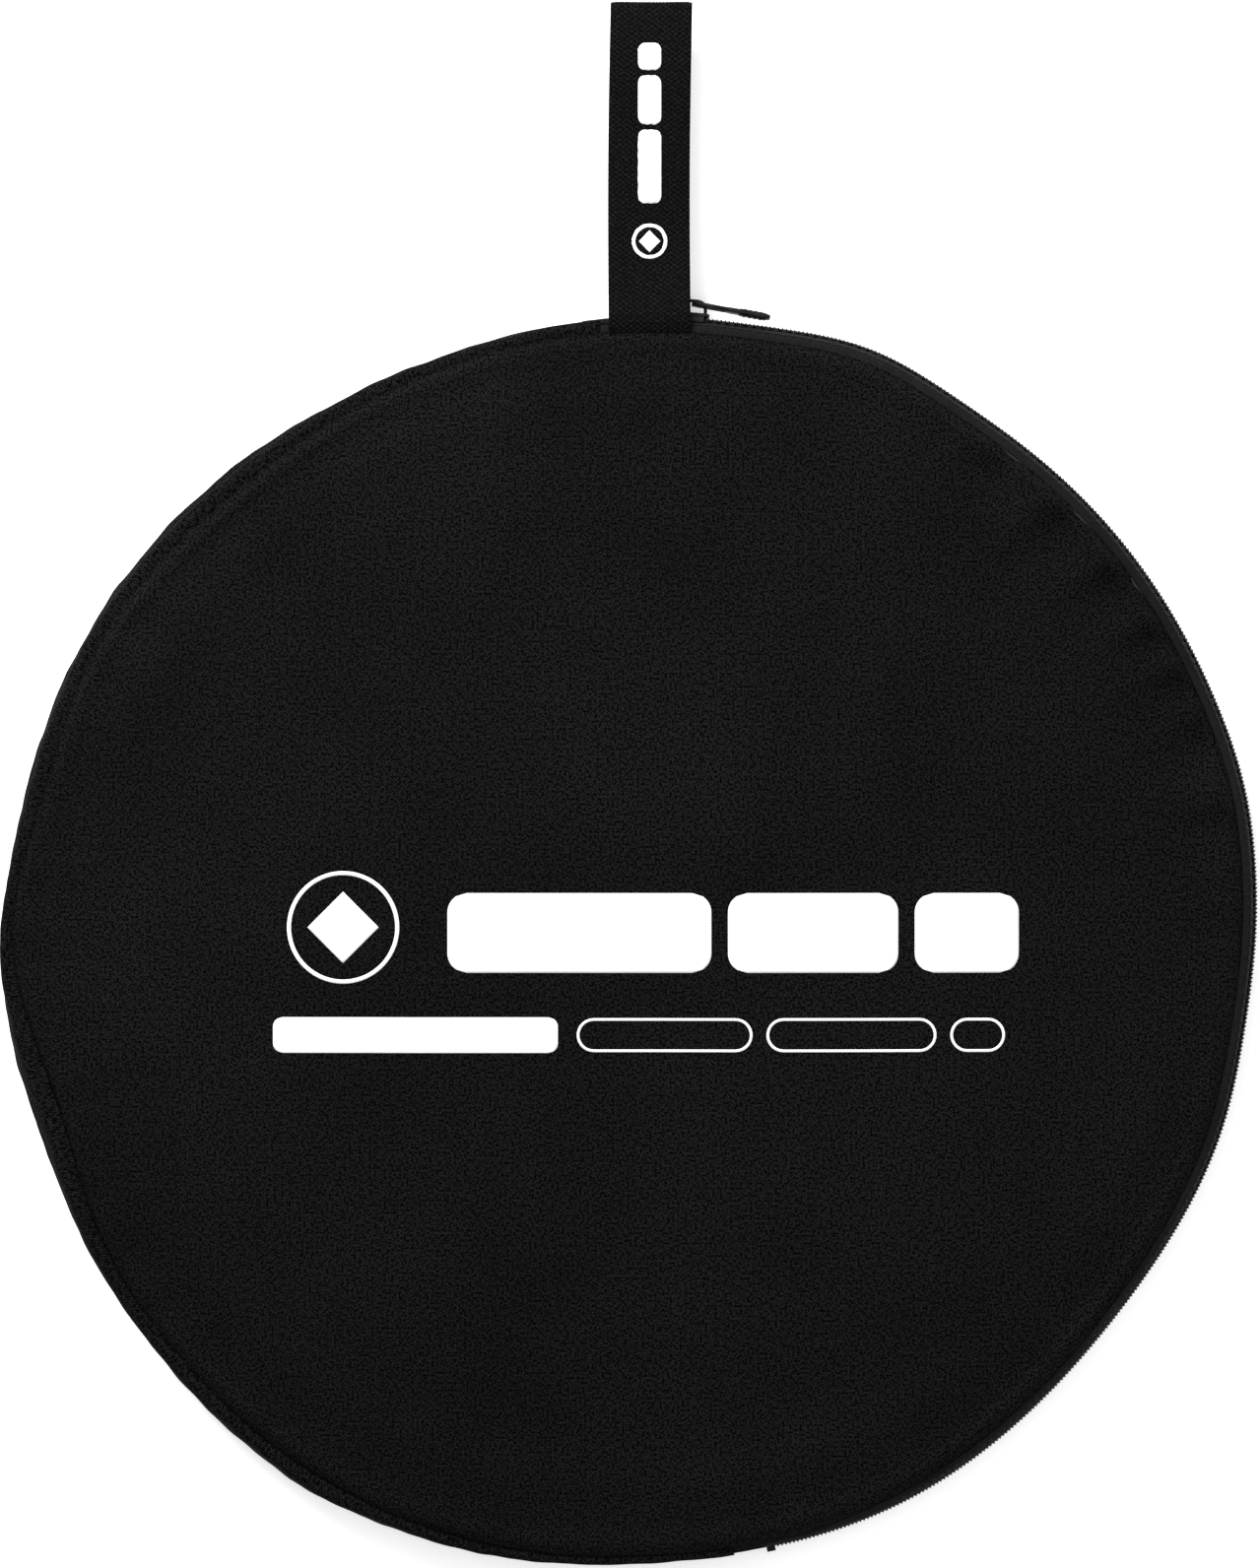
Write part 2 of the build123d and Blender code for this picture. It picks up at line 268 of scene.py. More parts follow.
def remap(tree, value, low, high, to_low=0.0, to_high=1.0):
    node = tree.nodes.new("ShaderNodeMapRange")
    for item, socket in zip((value, low, high, to_low, to_high), node.inputs):
        connect(tree, item, socket)
    return node.outputs["Result"]


def mix_colours(tree, factor, a, b):
    node = tree.nodes.new("ShaderNodeMix")
    node.data_type = "RGBA"
    for value, socket in ((factor, node.inputs[0]), (a, node.inputs[6]), (b, node.inputs[7])):
        connect(tree, value, socket)
    return node.outputs[2]


def group_node(tree, group, **values):
    node = tree.nodes.new("ShaderNodeGroup")
    node.node_tree = group
    for name, value in values.items():
        connect(tree, value, node.inputs[name.replace("_", " ")])
    return node.outputs


def woven_yarns_group():
    """Over-and-under yarns: Height is highest on a yarn, Streak is how one yarn differs from
    the next along its whole run, and Fibre is the uneven spin of it."""
    tree, given, out = shader_group(
        "woven_yarns",
        [("Flat place", "NodeSocketVector", None), ("Warp pitch", "NodeSocketFloat", 0.001),
         ("Weft pitch", "NodeSocketFloat", 0.001), ("Zigzag", "NodeSocketFloat", 0.0)],
        [("Height", "NodeSocketFloat"), ("Streak", "NodeSocketFloat"),
         ("Fibre", "NodeSocketFloat")],
    )
    turn_every = 0.0022
    slub_scale, run_scale, fibre_scale = 420.0, 620.0, 1100.0
    split = tree.nodes.new("ShaderNodeSeparateXYZ")
    tree.links.new(given["Flat place"], split.inputs[0])
    turned = calculate(tree, "PINGPONG", split.outputs["Y"], turn_every)
    slant = calculate(tree, "MULTIPLY", turned, given["Zigzag"])
    along = calculate(tree, "ADD", split.outputs["X"], slant)
    u = calculate(tree, "DIVIDE", calculate(tree, "MULTIPLY", along, 2 * pi), given["Warp pitch"])
    v = calculate(tree, "DIVIDE", calculate(tree, "MULTIPLY", split.outputs["Y"], 2 * pi),
                  given["Weft pitch"])
    product = calculate(tree, "MULTIPLY", calculate(tree, "SINE", u), calculate(tree, "SINE", v))
    slub = noise_value(tree, given["Flat place"], slub_scale, 2.0)
    raised = calculate(tree, "MULTIPLY_ADD", product, 0.5, 0.5)
    uneven = calculate(tree, "MULTIPLY", raised, remap(tree, slub, 0.3, 0.7, 0.7, 1.0))
    tree.links.new(uneven, out["Height"])
    runs = []
    for stretch in ((1.0, 0.03, 1.0), (0.03, 1.0, 1.0)):
        run = tree.nodes.new("ShaderNodeVectorMath")
        run.operation = "MULTIPLY"
        run.inputs[1].default_value = stretch
        tree.links.new(given["Flat place"], run.inputs[0])
        runs.append(noise_value(tree, run.outputs[0], run_scale, 2.0))
    both = calculate(tree, "ADD", *runs)
    tree.links.new(remap(tree, both, 0.72, 1.28), out["Streak"])
    tree.links.new(noise_value(tree, given["Flat place"], fibre_scale, 1.0), out["Fibre"])
    return tree


def surface_drift_group():
    """Slow changes over a surface: Tone from dyeing and rubbing, Lint as scattered specks."""
    tree, given, out = shader_group(
        "surface_drift",
        [("Place", "NodeSocketVector", None), ("Size", "NodeSocketFloat", 0.06)],
        [("Tone", "NodeSocketFloat"), ("Lint", "NodeSocketFloat")],
    )
    scale = calculate(tree, "DIVIDE", 1.0, given["Size"])
    broad = noise_value(tree, given["Place"], scale, 4.0, 0.55)
    tree.links.new(remap(tree, broad, 0.3, 0.7), out["Tone"])
    specks = noise_value(tree, given["Place"], 1500.0, 1.0)
    tree.links.new(remap(tree, specks, 0.78, 0.84), out["Lint"])
    return tree


def grain_group():
    """Fine tumbling marks and scratches of a small cast or moulded piece."""
    tree, given, out = shader_group(
        "moulded_grain",
        [("Place", "NodeSocketVector", None), ("Scale", "NodeSocketFloat", 900.0)],
        [("Grain", "NodeSocketFloat"), ("Wear", "NodeSocketFloat")],
    )
    tree.links.new(noise_value(tree, given["Place"], given["Scale"], 6.0, 0.65), out["Grain"])
    patches = noise_value(tree, given["Place"], 160.0, 3.0)
    tree.links.new(remap(tree, patches, 0.45, 0.68), out["Wear"])
    return tree


WOVEN_YARNS = woven_yarns_group()
SURFACE_DRIFT = surface_drift_group()
MOULDED_GRAIN = grain_group()


def start_material(name, **plain):
    """A material with its Principled BSDF, whose plain values are set on its own sockets."""
    material = bpy.data.materials.new(name)
    material.use_nodes = True
    shader = material.node_tree.nodes["Principled BSDF"]
    for label, value in plain.items():
        shader.inputs[label.replace("_", " ")].default_value = value
    return material, material.node_tree, shader.inputs


def add_bump(tree, height, distance, strength, sockets):
    bump = tree.nodes.new("ShaderNodeBump")
    bump.inputs["Distance"].default_value = distance
    bump.inputs["Strength"].default_value = strength
    connect(tree, height, bump.inputs["Height"])
    tree.links.new(bump.outputs[0], sockets["Normal"])


def cloth(name, deep, lit, warp, weft, relief, rough, sheen=0.0, zigzag=0.0, metallic=0.0,
          shine=0.5, uneven=0.14):
    """A woven cloth, read from its flat UV map in metres: painted shade (deep) between the yarns and
    painted light (lit) on their tops, with fibres that differ in tone by the uneven share."""
    material, tree, sockets = start_material(name, Sheen_Weight=sheen, Sheen_Roughness=0.4,
                                             Metallic=metallic, Specular_IOR_Level=shine)
    flat = tree.nodes.new("ShaderNodeUVMap")
    flat.uv_map = "cloth"
    place = tree.nodes.new("ShaderNodeTexCoord").outputs["Object"]
    yarn = group_node(tree, WOVEN_YARNS, Flat_place=flat.outputs[0], Warp_pitch=warp,
                      Weft_pitch=weft, Zigzag=zigzag)
    drift = group_node(tree, SURFACE_DRIFT, Place=place, Size=0.07)
    tone = calculate(tree, "MULTIPLY", remap(tree, drift["Tone"], 0, 1, 0.62, 1.0),
                     remap(tree, yarn["Streak"], 0, 1, 0.88, 1.08))
    fibre = remap(tree, yarn["Fibre"], 0.38, 0.62, 1 - uneven, 1 + uneven)
    tone = calculate(tree, "MULTIPLY", tone, fibre)
    # Painted shade between the yarns and painted light on their tops: the yarns' height, times their
    # tone, mixes the deep colour into the lit one.
    painted_yarn_light_and_tone = calculate(tree, "MULTIPLY", yarn["Height"], tone)
    base = mix_colours(tree, painted_yarn_light_and_tone, (*deep, 1), (*lit, 1))
    dust = calculate(tree, "MULTIPLY", drift["Lint"], 0.1)
    dusted = mix_colours(tree, dust, base, (0.3, 0.3, 0.3, 1))
    tree.links.new(dusted, sockets["Base Color"])
    gloss = calculate(tree, "MULTIPLY_ADD", yarn["Height"], -0.12, rough)
    tree.links.new(gloss, sockets["Roughness"])
    fuzzy = calculate(tree, "MULTIPLY_ADD", yarn["Fibre"], 0.25, yarn["Height"])
    add_bump(tree, fuzzy, relief, 0.8, sockets)
    return material


def moulded(name, colour, worn, rough, metallic, scale=900.0, relief=0.00004, shine=0.5):
    """A small moulded, drawn or cast piece: fine grain, and lighter where it has rubbed."""
    material, tree, sockets = start_material(name, Metallic=metallic, Specular_IOR_Level=shine)
    place = tree.nodes.new("ShaderNodeTexCoord").outputs["Object"]
    grain = group_node(tree, MOULDED_GRAIN, Place=place, Scale=scale)
    tree.links.new(mix_colours(tree, calculate(tree, "MULTIPLY", grain["Wear"], 0.5),
                               (*colour, 1), (*worn, 1)), sockets["Base Color"])
    tree.links.new(remap(tree, grain["Grain"], 0.3, 0.7, rough - 0.08, rough + 0.12),
                   sockets["Roughness"])
    add_bump(tree, grain["Grain"], relief, 0.5, sockets)
    return material


# Each cloth's first colour is painted shade between its yarns, its second painted light on the yarn
# tops.
CANVAS = cloth("black_canvas", (0.0003, 0.0003, 0.0003), (0.0122, 0.0122, 0.0124),
               1.15 * MM, 1.15 * MM, 0.26 * MM, 0.86, shine=0.025, uneven=1.0)
CANVAS_INSIDE = cloth("coated_inside", (0.01, 0.01, 0.011), (0.022, 0.022, 0.023),
                      1.15 * MM, 1.15 * MM, 0.05 * MM, 0.42, shine=0.3)
BINDING = cloth("black_binding_tape", (0.003, 0.003, 0.003), (0.02, 0.02, 0.021),
                0.5 * MM, 1.2 * MM, 0.12 * MM, 0.6, shine=0.15)
ZIP_TAPE = cloth("herringbone_zip_tape", (0.0015, 0.0015, 0.0016), (0.017, 0.017, 0.018),
                 0.8 * MM, 0.9 * MM, 0.12 * MM, 0.8, zigzag=1.0, shine=0.05)
WEBBING = cloth("black_webbing", (0.0001, 0.0001, 0.0001), (0.0095, 0.0095, 0.0097),
                2.5 * MM, 1.85 * MM, 0.34 * MM, 0.7, shine=0.02, uneven=0.6)
THREAD = moulded("black_thread", (0.008, 0.008, 0.008), (0.02, 0.02, 0.02), 0.55, 0.0, shine=0.2)
INK = cloth("white_print", (0.8, 0.8, 0.795), (0.9, 0.9, 0.895),
            1.15 * MM, 1.15 * MM, 0.06 * MM, 0.5)
SILVER_CLOTH = cloth("silver_cloth", (0.16, 0.165, 0.17), (0.4, 0.41, 0.43),
                     0.45 * MM, 0.45 * MM, 0.05 * MM, 0.34, metallic=0.85)
WHITE_CLOTH = cloth("white_cloth", (0.7, 0.7, 0.69), (0.88, 0.88, 0.87),
                    0.45 * MM, 0.45 * MM, 0.05 * MM, 0.62, sheen=0.1)
COIL = moulded("nylon_coil", (0.004, 0.004, 0.004), (0.014, 0.014, 0.014), 0.42, 0.0, shine=0.14)
SLIDER_METAL = moulded("blackened_zinc", (0.006, 0.006, 0.0062), (0.03, 0.03, 0.03), 0.42, 0.3,
                       shine=0.1)
PULL_METAL = moulded("black_pull", (0.005, 0.005, 0.0052), (0.025, 0.025, 0.025), 0.42, 0.3,
                     shine=0.08)
STEEL = moulded("spring_steel", (0.3, 0.3, 0.31), (0.5, 0.5, 0.5), 0.3, 1.0, 300.0)


# ---- Cloth covers ----
COVER_CELLS = 150
CANVAS_THICK = 0.8 * MM
HOOP_RIDGE_R = 199 * MM                  # where the folded hoop presses into the cloth
GATHERS = [(35, 28, 1.0), (84, 12, 0.9), (200, 40, 0.5), (255, 25, 0.5)]
# Puckers along the zipped side: angle, half width in degrees, depth and reach in mm.
PUCKERS = [(66, 2.4, 0.9, 6), (52, 1.9, 2.1, 8), (43, 1.8, 1.9, 7), (35.5, 1.5, 2.2, 7),
           (29.5, 1.2, 2.0, 6), (24.5, 1.1, 1.8, 6), (18.8, 2.1, 2.2, 7), (10.5, 1.6, 1.1, 6),
           (104, 2.0, 0.9, 6), (148, 1.6, 1.1, 7), (212, 1.8, 1.2, 7), (283, 1.7, 1.3, 6),
           (322, 2.6, 1.6, 9)]


def round_off(u, v):
    """A point of the unit square moved into the unit disc, with even cells."""
    return u * sqrt(1 - v * v / 2), v * sqrt(1 - u * u / 2)


def gather(x, y, seed):
    """Little radial gathers beside a seam, deeper where the listed gathers are."""
    angle = angle_of(Vector((x, y)))
    inward = max(0.0, front_seam_r(angle) - hypot(x, y))
    along = radians(angle % 360) * SEAM_R
    depth = 0.5 + hills(GATHERS, angle)
    wave = noise.noise(Vector((along / 0.014, inward / 0.11, seed)))
    wave += 0.5 * noise.noise(Vector((along / 0.006, inward / 0.05, seed + 5)))
    return depth * wave * exp(-inward / 0.024) * min(1.0, inward / 0.003) * MM


def pucker(x, y):
    """The listed puckers, each a hollow that runs in from the seam."""
    angle = angle_of(Vector((x, y)))
    inward = max(0.0, front_seam_r(angle) - hypot(x, y))
    depth = 0.0
    for place, width, deep, reach in PUCKERS:
        if abs(turn_between(angle, place)) < 3 * width:
            share = inward / (reach * MM)
            across = turn_between(angle, place) / (width * (1 + 0.25 * share))
            hollow = share * exp(1 - share) * exp(-across * across)
            rim = 0.45 * share * exp(1 - share) * exp(-((abs(across) - 1.7) / 0.8) ** 2)
            depth += deep * (hollow - rim)
    return depth * MM


WALL_DIP = 2.4 * MM
COVER_DIP = 1.7 * MM                     # less than the wall's, so that the cover lies over its edge


def seam_shoulder(inward, deep):
    """The cloth rolls up beside a seam and dips this deep into it."""
    roll = 1.0 * MM * exp(-(((inward - 4.4 * MM) / (2.3 * MM)) ** 2))
    dip = deep * exp(-((inward / (1.9 * MM)) ** 2))
    return roll - dip


def crown(x, y):
    """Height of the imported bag's front here: a soft crown, the hoop's ridge and some lumps."""
    angle = angle_of(Vector((x, y)))
    radius = hypot(x, y)
    share = min(1.0, radius / front_seam_r(angle))
    rise = (CROWN_Z - FRONT_SEAM_Z) * (1 - share * share) ** 0.7
    ridge = 1.0 * MM * exp(-(((radius - HOOP_RIDGE_R) / (9 * MM)) ** 2))
    lumps = 1.6 * ripple(x, y, 0.09, 3.1) + 0.7 * ripple(x, y, 0.035, 7.7)
    return FRONT_SEAM_Z + rise + ridge + lumps * MM * (1 - share ** 8)


def lay_disc(bm, outline, height):
    """Moves a flat square grid of side 2 into an outline, at these heights."""
    for vert in bm.verts:
        x, y = round_off(vert.co.x, vert.co.y)
        radius = outline(angle_of(Vector((x, y))))
        vert.co = Vector((x * radius, y * radius, 0))
    keep_flat_place(bm.faces, bm.loops.layers.uv["cloth"])
    for vert in bm.verts:
        vert.co.z = height(vert.co.x, vert.co.y)
    return bm


def border_edges(mesh):
    """The vertex pairs of a mesh's open border."""
    uses = {}
    for polygon in mesh.polygons:
        for key in polygon.edge_keys:
            uses[key] = uses.get(key, 0) + 1
    return [key for key, count in uses.items() if count == 1]


SEWN_REACH = 30 * MM                     # over this far from the seam the cloth comes free ...
SEWN_SHARE = 0.4                         # ... after this share, which the stitches hold


def settle(piece, support, slack, frames, furthest):
    """Lets a pinned, slightly slack cloth settle on a support, and keeps where it ends up, but
    for the stretch beside the seam, which the stitches hold."""
    scene = bpy.context.scene
    trial = bpy.data.objects.new("settling", piece.data.copy())
    scene.collection.objects.link(trial)
    pins = trial.vertex_groups.new(name="pins")
    edge = {v for e in border_edges(trial.data) for v in e}
    pins.add(sorted(edge), 1.0, "REPLACE")
    support.modifiers.new("support", "COLLISION")
    support.collision.thickness_outer = 0.6 * MM
    support.collision.cloth_friction = 8.0
    drape = trial.modifiers.new("drape", "CLOTH")
    feel = dict(quality=5, mass=0.12, tension_stiffness=18, compression_stiffness=18,
                shear_stiffness=6, bending_stiffness=0.35, shrink_min=-slack,
                vertex_group_mass="pins")
    for label, value in feel.items():
        setattr(drape.settings, label, value)
    drape.collision_settings.distance_min = 0.6 * MM
    drape.collision_settings.use_self_collision = False
    drape.point_cache.frame_start = 1
    drape.point_cache.frame_end = frames
    for number in range(1, frames + 1):
        scene.frame_set(number)
    settled = trial.evaluated_get(bpy.context.evaluated_depsgraph_get()).data
    for vert, moved in zip(piece.data.vertices, settled.vertices):
        inward = front_seam_r(angle_of(vert.co)) - hypot(*vert.co.xy)
        step = (moved.co - vert.co) * min(1.0, max(0.0, inward / SEWN_REACH - SEWN_SHARE))
        vert.co += step * min(1.0, furthest / max(step.length, 1e-9))
    bpy.data.objects.remove(trial)
    scene.frame_set(1)


def front_cover():
    """The front panel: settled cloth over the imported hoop, with gathers at its seam."""
    bm = lay_disc(cloth_grid(COVER_CELLS, COVER_CELLS, 2, 2), front_seam_r,
                  lambda x, y: crown(x, y) + 0.8 * MM)
    piece = make_piece("front_cover", bm, CANVAS, CANVAS_INSIDE)
    face_up(piece, lambda c: Vector((0, 0, 1)))
    below = lay_disc(cloth_grid(70, 70, 2, 2), front_seam_r,
                     lambda x, y: crown(x, y) - 0.8 * MM)
    support = make_piece("packed_shape", below)
    face_up(support, lambda c: Vector((0, 0, 1)))
    settle(piece, support, 0.004, 22, 5 * MM)
    bpy.data.objects.remove(support)
    for vert in piece.data.vertices:
        x, y = vert.co.xy
        inward = front_seam_r(angle_of(vert.co)) - hypot(x, y)
        vert.co.z += gather(x, y, 1.7) - pucker(x, y) - 0.8 * MM
        vert.co.z += seam_shoulder(inward, COVER_DIP)
    thicken(piece, CANVAS_THICK, 1)
    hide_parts("front_panel_fixed", "front_panel_flap")
    ride_fold(piece)
    return piece


def back_cover():
    """The back panel, flat where it lies and turned up to its seam."""
    def height(x, y):
        inward = back_seam_r(angle_of(Vector((x, y)))) - hypot(x, y)
        turn = max(0.0, 1 - inward / (20 * MM))
        lumps = 0.25 * MM * (1 + ripple(x, y, 0.05, 12.5)) * min(1.0, inward / (40 * MM))
        fold = max(0.0, gather(x, y, 9.2)) * turn
        return BACK_SEAM_Z * turn ** 2.2 + lumps + fold

    bm = lay_disc(cloth_grid(110, 110, 2, 2), back_seam_r, height)
    piece = make_piece("back_cover", bm, CANVAS, CANVAS_INSIDE)
    face_up(piece, lambda c: Vector((0, 0, -1)))
    thicken(piece, CANVAS_THICK, 1)
    stand_in(piece, "bag", "canvas", "back_panel")


# ---- Side wall ----
def wall_roll(spread):
    """How the side wall swells beside each seam and dips into it."""
    inward = radians(SPREAD - abs(spread)) * BULGE_R
    return seam_shoulder(inward, WALL_DIP)


def wall_strip(name, start, end, low, high, columns, rows, lift, *materials):
    """A strip of the side wall between two angles of the rim and two of its section."""
    length = radians(end - start) * WALL_R
    width = radians(high - low) * BULGE_R
    bm = cloth_grid(columns, rows, length, width)
    for vert in bm.verts:
        angle = start + (vert.co.x / length + 0.5) * (end - start)
        spread = low + (vert.co.y / width + 0.5) * (high - low)
        vert.co = wall_place(angle, spread, lift(angle, spread))
    piece = make_piece(name, bm, *materials)
    return face_up(piece, lambda c: Vector((c.x, c.y, 0)))


def gusset_lift(angle, spread):
    """Creases of the gusset: small buckles all along, and one long fold low on the left."""
    along = radians(angle) * WALL_R
    buckle = noise.noise(Vector((along / 0.022, spread / 40, 2.3)))
    buckle += 0.5 * noise.noise(Vector((along / 0.008, spread / 30, 8.1)))
    held = 1 - (abs(spread) / SPREAD) ** 4
    middle = 8 + 14 * sin(radians(angle * 3))
    window = exp(-(((angle - 196) / 24) ** 2)) + 0.6 * exp(-(((angle - 130) / 22) ** 2))
    fold = exp(-(((spread - middle) / 9) ** 2)) * window
    return wall_roll(spread) + (0.6 * held + 0.8 * buckle * held - 1.7 * fold) * MM


def gusset():
    piece = wall_strip("gusset", ZIP_END, ZIP_START + 360, -SPREAD, SPREAD, 520, 36,
                       gusset_lift, CANVAS, CANVAS_INSIDE)
    thicken(piece, CANVAS_THICK, 1)
    stand_in(piece, "bag", "canvas", "gusset_strip")


def seam_binding(name, outline, seam_z, side):
    """The bound seam allowance, a fin of tape inside the bag, all round one seam."""
    fin = 7.5 * MM
    length = 2 * pi * SEAM_R
    bm = cloth_grid(480, 6, length, 2 * fin)
    for vert in bm.verts:
        angle = vert.co.x / length * 360
        across = vert.co.y / fin
        inward = fin * (1 - abs(across)) + 0.4 * MM
        fall = side * (0.9 * MM + 0.6 * MM * sqrt(max(0.0, 1 - abs(across)))) * across
        sag = 0.5 * MM * ripple(*polar(0.3, angle, 0).xy, 0.012, 4.4)
        vert.co = polar(outline(angle) - inward, angle,
                        seam_z - side * 2.0 * MM + fall * 0.5 + sag * (1 - abs(across)))
    bmesh.ops.remove_doubles(bm, verts=bm.verts, dist=0.01 * MM)
    piece = make_piece(name, bm, BINDING)
    return piece


# ---- Zip ----
TOOTH_PITCH = 1.5 * MM
TOOTH_STEP = degrees(TOOTH_PITCH / COIL_R)
STITCH_PITCH = 3.2 * MM
TAPE_THICK = 0.6 * MM
TOOTH = (2.0 * MM, 1.02 * MM, 3.5 * MM)
TOOTH_RISE = 1.3 * MM                    # from the zip line to a tooth's middle
COIL_ROW = (15.5, 0.35 * MM)             # a stitch row's place on the section, and its lift
TAPE_ROW = (35, 0.85 * MM)


def around(unit, start, end, count):
    """Repeats a small shape, modelled at angle 0, round the rim, and follows the rim's swells."""
    bmesh.ops.rotate(unit, verts=unit.verts, cent=(0, 0, 0),
                     matrix=Matrix.Rotation(radians(start), 3, "Z"))
    if count > 1:
        bmesh.ops.spin(unit, geom=unit.verts[:] + unit.edges[:] + unit.faces[:], cent=(0, 0, 0),
                       axis=(0, 0, 1), dvec=(0, 0, 0), angle=radians(end - start),
                       steps=count - 1, use_duplicate=True)
    for vert in unit.verts:
        angle = angle_of(vert.co)
        vert.co += polar(swell(angle), angle, 0)
    return unit


def bead(size, centre, segments=8, rings=6):
    """A rounded bead of this full size, at its place at angle 0."""
    bm = bmesh.new()
    bmesh.ops.create_uvsphere(bm, u_segments=segments, v_segments=rings, radius=0.5)
    bmesh.ops.scale(bm, vec=size, verts=bm.verts)
    bmesh.ops.translate(bm, vec=centre, verts=bm.verts)
    return bm


def coil_teeth(name, start, end, side):
    """Half the chain: one loop of the coil for every pitch, its head past the zip line."""
    first = COIL_START + TOOTH_STEP * (0.5 if side > 0 else 0.0)
    lowest = int((start - first) / TOOTH_STEP + 0.999)
    highest = int((end - first) / TOOTH_STEP)
    tooth = bead(TOOTH, (COIL_R, 0, ZIP_Z + side * TOOTH_RISE))
    around(tooth, first + lowest * TOOTH_STEP, first + highest * TOOTH_STEP, highest - lowest + 1)
    return make_piece(name, tooth, COIL)


def stitch_row(name, start, end, spread, lift):
    """One row of lockstitches on the wall."""
    count = int(radians(end - start) * WALL_R / STITCH_PITCH)
    place = WALL_CENTRE_R + (BULGE_R + lift) * cos(radians(spread))
    height = ZIP_Z + (BULGE_R + lift) * sin(radians(spread))
    unit = bead((0.45 * MM, 2.3 * MM, 0.45 * MM), (place, 0, height), 6, 5)
    return make_piece(name, around(unit, start, end, count), THREAD)


def tape_lift(angle, spread):
    """The tape lies smooth where the slider runs, and buckles a little between there and its seam."""
    along = radians(angle) * WALL_R
    held = min(1.0, max(0.0, (abs(spread) - 24) / 10))
    buckle = noise.noise(Vector((along / 0.017, spread / 60, 31.0)))
    return wall_roll(spread) * 0.8 + (0.35 * buckle * held - 0.1) * MM


def tape_strip(name, start, end, low, high):
    columns = max(4, int((end - start) * 3))
    piece = wall_strip(name, start, end, low, high, columns, 12, tape_lift, ZIP_TAPE)
    thicken(piece, TAPE_THICK)
    return piece


def front_zip_half():
    """The tape, coil and stitches on the flap's side of the zip."""
    tape = tape_strip("front_zip_cloth", ZIP_START, ZIP_END, 1.5, SPREAD)
    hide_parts("front_zip_tape", "front_zip_tape_ends")
    teeth = coil_teeth("front_zip_teeth", COIL_START, COIL_END, 1)
    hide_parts("front_zip_coil", "front_zip_coil_ends")
    inner = stitch_row("front_coil_stitches", COIL_START, COIL_END, *COIL_ROW)
    outer = stitch_row("front_tape_stitches", ZIP_START + 2, ZIP_END - 1, *TAPE_ROW)
    for piece in (tape, teeth, inner, outer):
        ride_fold(piece)


# The back half of the zip is cut into sections: one at each parked end, one across the mouth,
# and short ones between them. Those with a keep share below one get meshes of their own.
MOUTH_TOP = 80.5
MOUTH_BOTTOM = -71.0
STEP_ANGLE = 1.75
STEPS_DOWN = 8
LYING_SHARE = 0.06


def back_zip_section(number, start, end, keep):
    suffix = f"_{number:02d}"
    tape = tape_strip("back_zip_cloth" + suffix, start, end, -SPREAD, -1.5)
    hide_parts("back_zip_tape")
    pieces = [tape]
    teeth_start, teeth_end = max(start, COIL_START), min(end, COIL_END)
    teeth = coil_teeth("back_zip_teeth" + suffix, teeth_start, teeth_end, -1)
    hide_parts("back_zip_coil")
    pieces.append(teeth)
    if end - start > 2 * STEP_ANGLE:
        rows = [("back_coil_stitches", *COIL_ROW), ("back_tape_stitches", *TAPE_ROW)]
        pieces += [stitch_row(n + suffix, teeth_start, teeth_end, -s, up) for n, s, up in rows]
    for piece in pieces:
        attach(piece, "bag")
        if keep < 1:
            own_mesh(piece)


def back_zip_half():
    down = STEP_ANGLE * STEPS_DOWN
    keeps = [1 - (1 - LYING_SHARE) * sin((k + 0.5) / STEPS_DOWN * pi / 2) ** 2
             for k in range(STEPS_DOWN)]
    sections = [(ZIP_START, MOUTH_BOTTOM, 1.0), (MOUTH_BOTTOM + down, MOUTH_TOP - down, LYING_SHARE),
                (MOUTH_TOP, ZIP_END, 1.0)]
    for k, keep in enumerate(keeps):
        foot = MOUTH_BOTTOM + k * STEP_ANGLE
        head = MOUTH_TOP - k * STEP_ANGLE
        sections += [(foot, foot + STEP_ANGLE, keep), (head - STEP_ANGLE, head, keep)]
    for number, (start, end, keep) in enumerate(sorted(sections)):
        back_zip_section(number, start, end, keep)


def zip_end_tabs():
    """Cloth tabs folded over both ends of the tapes."""
    def lift(angle, spread):
        return (1.0 + 0.3 * noise.noise(Vector((angle * 0.7, spread / 12, 3.0)))) * MM

    for name, start, end in (("lower_zip_tab", ZIP_START - 1.6, COIL_START - 0.9),
                             ("upper_zip_tab", COIL_END + 1.0, ZIP_END + 1.6)):
        tab = wall_strip(name, start, end, -34, 34, 24, 24, lift, CANVAS)
        thicken(tab, 0.9 * MM)
        bevel = tab.modifiers.new("soft_edge", "BEVEL")
        bevel.width = 0.3 * MM
        bevel.segments = 2
        stand_in(tab, "bag", "canvas", "zip_end_tabs")


# ---- Slider and pull ----
def at_rim(bm, radius, angle):
    """Moves a shape made about the origin to the rim: its X along the chain, its Y outwards."""
    turn = Matrix.Rotation(radians(angle - 90), 4, "Z")
    bmesh.ops.transform(bm, matrix=Matrix.Translation(polar(radius, angle, ZIP_Z)) @ turn,
                        verts=bm.verts)
    return bm


